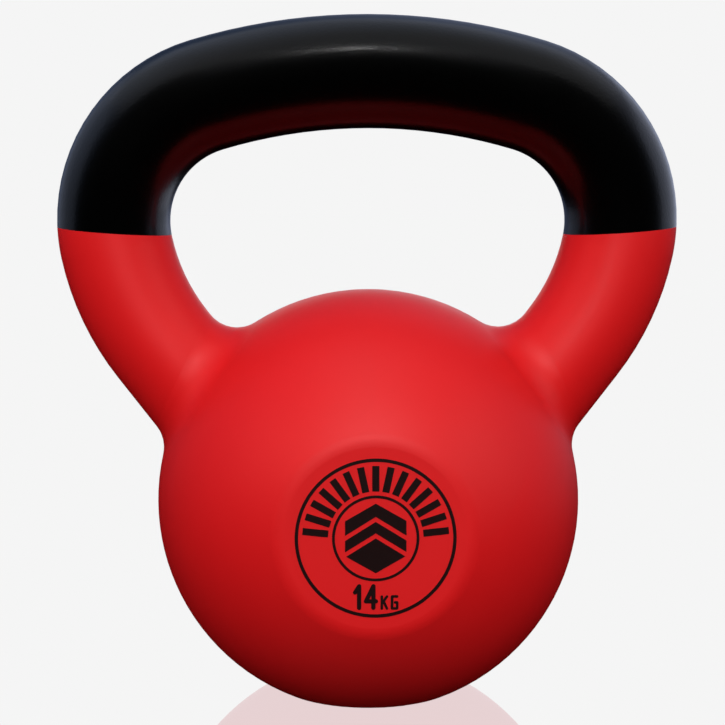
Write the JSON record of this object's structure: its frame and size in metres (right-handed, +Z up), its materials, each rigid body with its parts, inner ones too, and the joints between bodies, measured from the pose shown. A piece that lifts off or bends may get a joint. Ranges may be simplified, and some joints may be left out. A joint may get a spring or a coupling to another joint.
{
  "type": "kettlebell",
  "caption": "Vinyl-coated cast-iron kettlebell: a round ball with flat front, back and base, and a wide rounded grip bar on two splayed horns.",
  "frame": {"origin": "centre of the flat that the bell stands on, at floor level", "axes": "+Z up towards the grip, +X along the grip bar, -Y out of the printed front flat"},
  "size_m": [0.2168, 0.1349, 0.2378],
  "materials": {
    "iron": "as cast and shot blasted, fully covered by the coats",
    "red_vinyl": "satin dipped vinyl",
    "black_vinyl": "smooth, fairly glossy dipped vinyl",
    "black_ink": "matt pad-printed ink"
  },
  "bodies": {
    "root": {"iron_casting": "iron", "body_coat": "red_vinyl", "grip_coat": "black_vinyl", "front_emblem": "black_ink", "weight_mark": "black_ink"}
  },
  "joints": []
}
